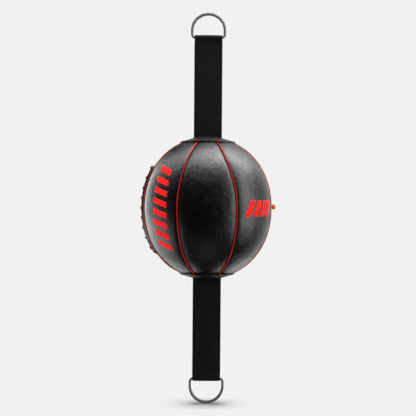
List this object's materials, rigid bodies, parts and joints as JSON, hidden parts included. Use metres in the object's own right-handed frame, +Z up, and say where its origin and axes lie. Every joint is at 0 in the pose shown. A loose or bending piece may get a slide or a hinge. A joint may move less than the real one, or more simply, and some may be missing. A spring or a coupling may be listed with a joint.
{
  "type": "floor-to-ceiling boxing ball",
  "caption": "Inflated, laced black leather ball with red-piped gores, webbing straps and steel D-rings at both ends for rebound boxing practice.",
  "frame": {"origin": "inner crown of the upper D-ring, on the ball's axis, where a ceiling line's hook bears", "axes": "+Z up along the ball's axis towards the ceiling, +X across the straps' width towards the valve, +Y to the back"},
  "size_m": [0.2401, 0.2282, 0.6952],
  "materials": {
    "black_leather": "semi-gloss grained black leather",
    "red_piping": "satin red welt cord",
    "black_webbing": "matt woven polyester webbing",
    "black_lace": "matt braided cord",
    "dark_nickel": "polished dark nickel plate",
    "black_eyelet": "black enamel",
    "bladder_rubber": "matt moulded rubber",
    "pale_rubber": "satin natural rubber",
    "red_rubber": "satin orange-red rubber"
  },
  "bodies": {
    "upper_strap": {"upper_strap": "black_webbing"},
    "upper_ring": {"upper_ring": "dark_nickel"},
    "ball": {"gore_1": "black_leather", "gore_2": "black_leather", "gore_3": "black_leather", "gore_4": "black_leather", "gore_5": "black_leather", "gore_6": "black_leather", "lacing_facing_front": "black_leather", "lacing_facing_rear": "black_leather", "lacing_tongue": "black_leather", "upper_end_cap": "black_leather", "lower_end_cap": "black_leather", "piping_1": "red_piping", "piping_2": "red_piping", "piping_3": "red_piping", "piping_4": "red_piping", "piping_5": "red_piping", "piping_6": "red_piping", "piping_7": "red_piping", "eyelet_front_1": "black_eyelet", "eyelet_front_2": "black_eyelet", "eyelet_front_3": "black_eyelet", "eyelet_front_4": "black_eyelet", "eyelet_front_5": "black_eyelet", "eyelet_front_6": "black_eyelet", "eyelet_front_7": "black_eyelet", "eyelet_front_8": "black_eyelet", "eyelet_front_9": "black_eyelet", "eyelet_rear_1": "black_eyelet", "eyelet_rear_2": "black_eyelet", "eyelet_rear_3": "black_eyelet", "eyelet_rear_4": "black_eyelet", "eyelet_rear_5": "black_eyelet", "eyelet_rear_6": "black_eyelet", "eyelet_rear_7": "black_eyelet", "eyelet_rear_8": "black_eyelet", "eyelet_rear_9": "black_eyelet", "lace": "black_lace", "upper_strap_anchor": "black_webbing", "lower_strap_anchor": "black_webbing", "upper_anchor_disc": "black_webbing", "lower_anchor_disc": "black_webbing", "bladder": "bladder_rubber", "valve_stem": "pale_rubber", "valve_eyelet": "black_eyelet"},
    "lower_strap": {"lower_strap": "black_webbing"},
    "lower_ring": {"lower_ring": "dark_nickel"},
    "valve_plug": {"valve_plug": "red_rubber"}
  },
  "joints": [
    {"name": "upper_ring_hinge", "type": "hinge", "parent": "upper_strap", "child": "upper_ring", "pos_m": [0, 0, -0.0406], "axis": [1, 0, 0], "range_deg": [-168, 168]},
    {"name": "upper_strap_root", "type": "hinge", "parent": "upper_strap", "child": "ball", "pos_m": [0, 0, -0.2136], "axis": [1, 0, 0], "range_deg": [-80, 80]},
    {"name": "lower_strap_root", "type": "hinge", "parent": "ball", "child": "lower_strap", "pos_m": [0, 0, -0.4738], "axis": [1, 0, 0], "range_deg": [-80, 80]},
    {"name": "lower_ring_hinge", "type": "hinge", "parent": "lower_strap", "child": "lower_ring", "pos_m": [0, 0, -0.6468], "axis": [1, 0, 0], "range_deg": [-168, 168]},
    {"name": "valve_plug_pull", "type": "slide", "parent": "ball", "child": "valve_plug", "axis": [0.9925, 0.1219, 0.013], "range_m": [0, 0.012]}
  ]
}
